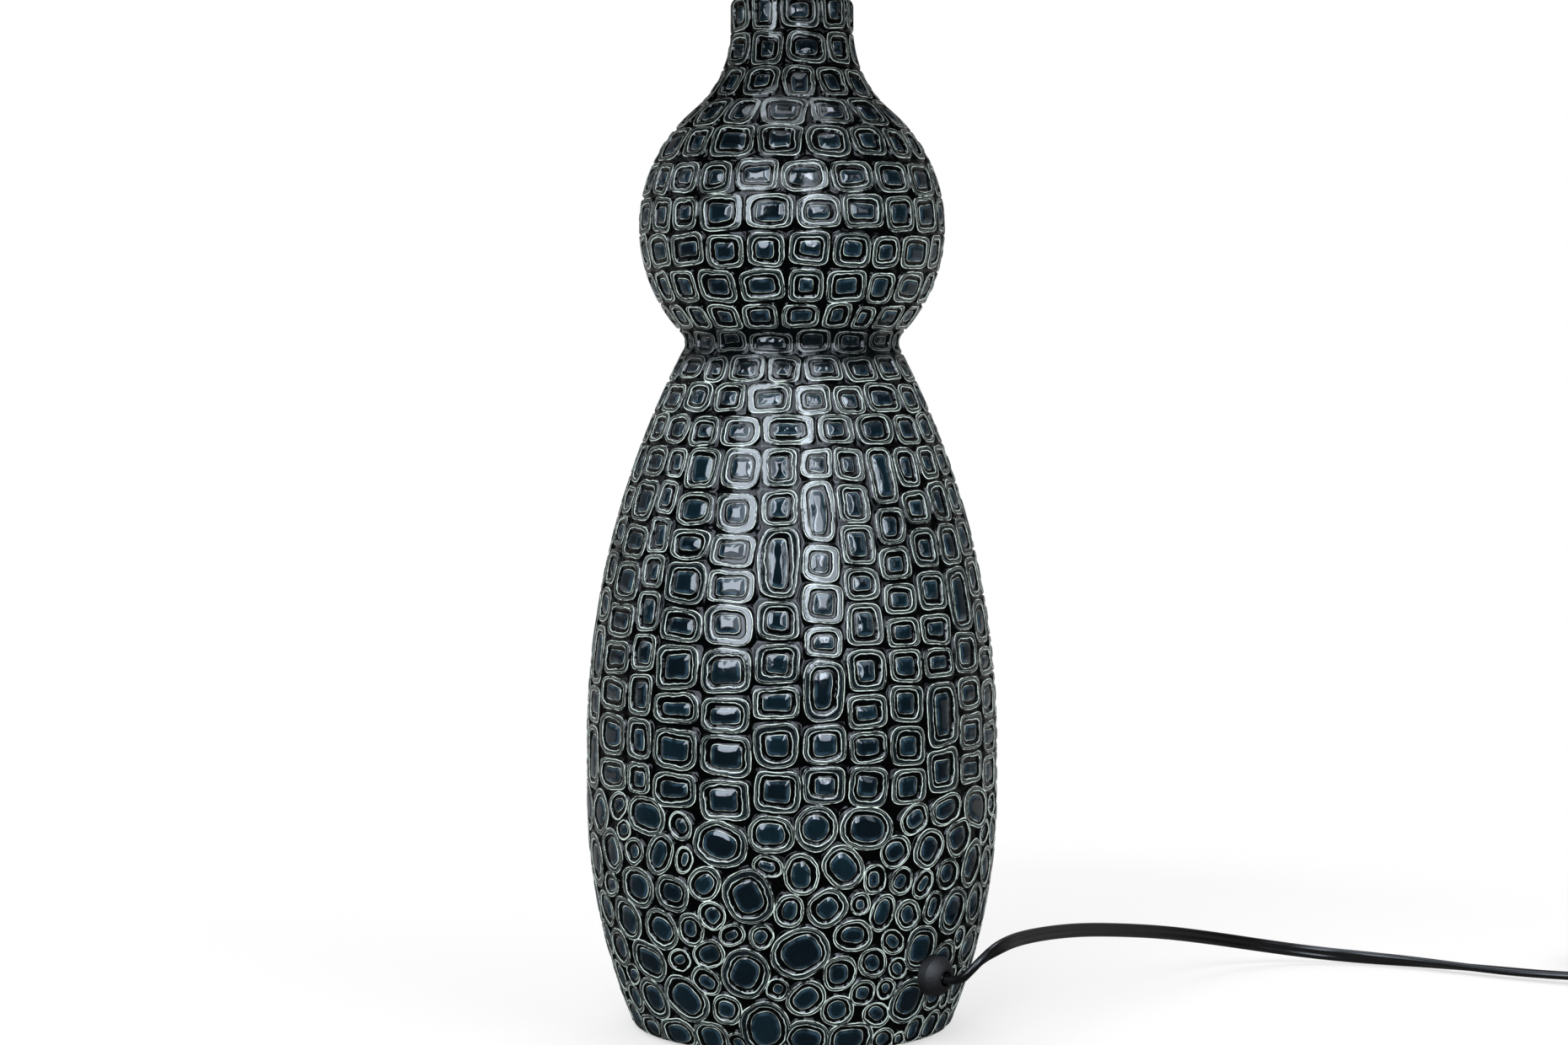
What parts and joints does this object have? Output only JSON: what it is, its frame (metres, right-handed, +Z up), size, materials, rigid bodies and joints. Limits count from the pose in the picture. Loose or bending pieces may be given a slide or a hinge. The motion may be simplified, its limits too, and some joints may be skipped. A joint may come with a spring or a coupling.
{
  "type": "table lamp",
  "caption": "Table lamp: gourd-shaped ceramic base with an embossed pebble glaze, harp, tapered fabric shade, finial and a flat two-core cord with its plug.",
  "frame": {"origin": "middle of the foot, on the table", "axes": "+Z up along the lamp's axis; the front is -Y and the cord leaves at the front right"},
  "size_m": [0.664, 0.3798, 0.7264],
  "materials": {
    "glazed_ceramic": "gloss",
    "felt": "matte",
    "cover_board": "matte",
    "zinc_steel": "satin",
    "nickel": "brushed",
    "clear_gasket": "matte",
    "black_plastic": "matte",
    "cord_jacket": "gloss",
    "liner_paper": "matte",
    "porcelain": "gloss",
    "brass": "satin",
    "bulb_glass": "frosted",
    "bulb_metal": "satin",
    "shade_linen": "matte"
  },
  "bodies": {
    "lamp": {"ceramic_body": "glazed_ceramic", "felt_pad": "felt", "base_cover": "cover_board", "base_washer": "zinc_steel", "base_lock_washer": "zinc_steel", "base_nut": "zinc_steel", "threaded_rod": "zinc_steel", "neck_gasket": "clear_gasket", "vase_cap": "nickel", "neck_tube": "nickel", "check_ring": "nickel", "saddle_nut": "zinc_steel", "harp_saddle": "nickel", "socket_cap": "nickel", "set_screw": "zinc_steel", "socket_shell": "nickel", "socket_liner": "liner_paper", "socket_core": "porcelain", "centre_contact": "brass", "terminal_screws": "brass", "screw_shell": "brass", "cord_bushing": "black_plastic", "inner_lead": "cord_jacket", "cord_lead": "cord_jacket", "cord_coil": "cord_jacket", "cord_tail": "cord_jacket", "coil_tie": "black_plastic", "plug_body": "black_plastic", "plug_blades": "brass"},
    "knob": {"knob_stem": "zinc_steel", "switch_knob": "black_plastic"},
    "bulb": {"bulb_contact": "bulb_metal", "bulb_base": "bulb_metal", "bulb_glass": "bulb_glass"},
    "harp": {"harp_foot_right": "nickel", "harp_foot_left": "nickel", "harp_wire": "nickel", "harp_stud": "nickel"},
    "ferrule_right": {"ferrule_right": "nickel"},
    "ferrule_left": {"ferrule_left": "nickel"},
    "shade": {"shade_fabric": "shade_linen", "shade_bottom_ring": "zinc_steel", "shade_top_ring": "zinc_steel", "shade_spider": "nickel"},
    "finial": {"finial": "nickel"}
  },
  "joints": [
    {"name": "knob_turn", "type": "hinge", "parent": "lamp", "child": "knob", "pos_m": [0, -0.02, 0.4931], "axis": [0, -1, 0], "continuous": true},
    {"name": "bulb_turn", "type": "hinge", "parent": "lamp", "child": "bulb", "pos_m": [0, 0, 0.55], "axis": [0, 0, 1], "continuous": true},
    {"name": "harp_lift", "type": "slide", "parent": "lamp", "child": "harp", "axis": [0, 0, 1], "range_m": [0, 0.03]},
    {"name": "ferrule_right_lift", "type": "slide", "parent": "harp", "child": "ferrule_right", "axis": [0, 0, 1], "range_m": [0, 0.014]},
    {"name": "ferrule_left_lift", "type": "slide", "parent": "harp", "child": "ferrule_left", "axis": [0, 0, 1], "range_m": [0, 0.014]},
    {"name": "shade_turn", "type": "hinge", "parent": "harp", "child": "shade", "pos_m": [0, 0, 0.6], "axis": [0, 0, 1], "continuous": true},
    {"name": "finial_turn", "type": "hinge", "parent": "shade", "child": "finial", "pos_m": [0, 0, 0.71], "axis": [0, 0, 1], "continuous": true}
  ]
}
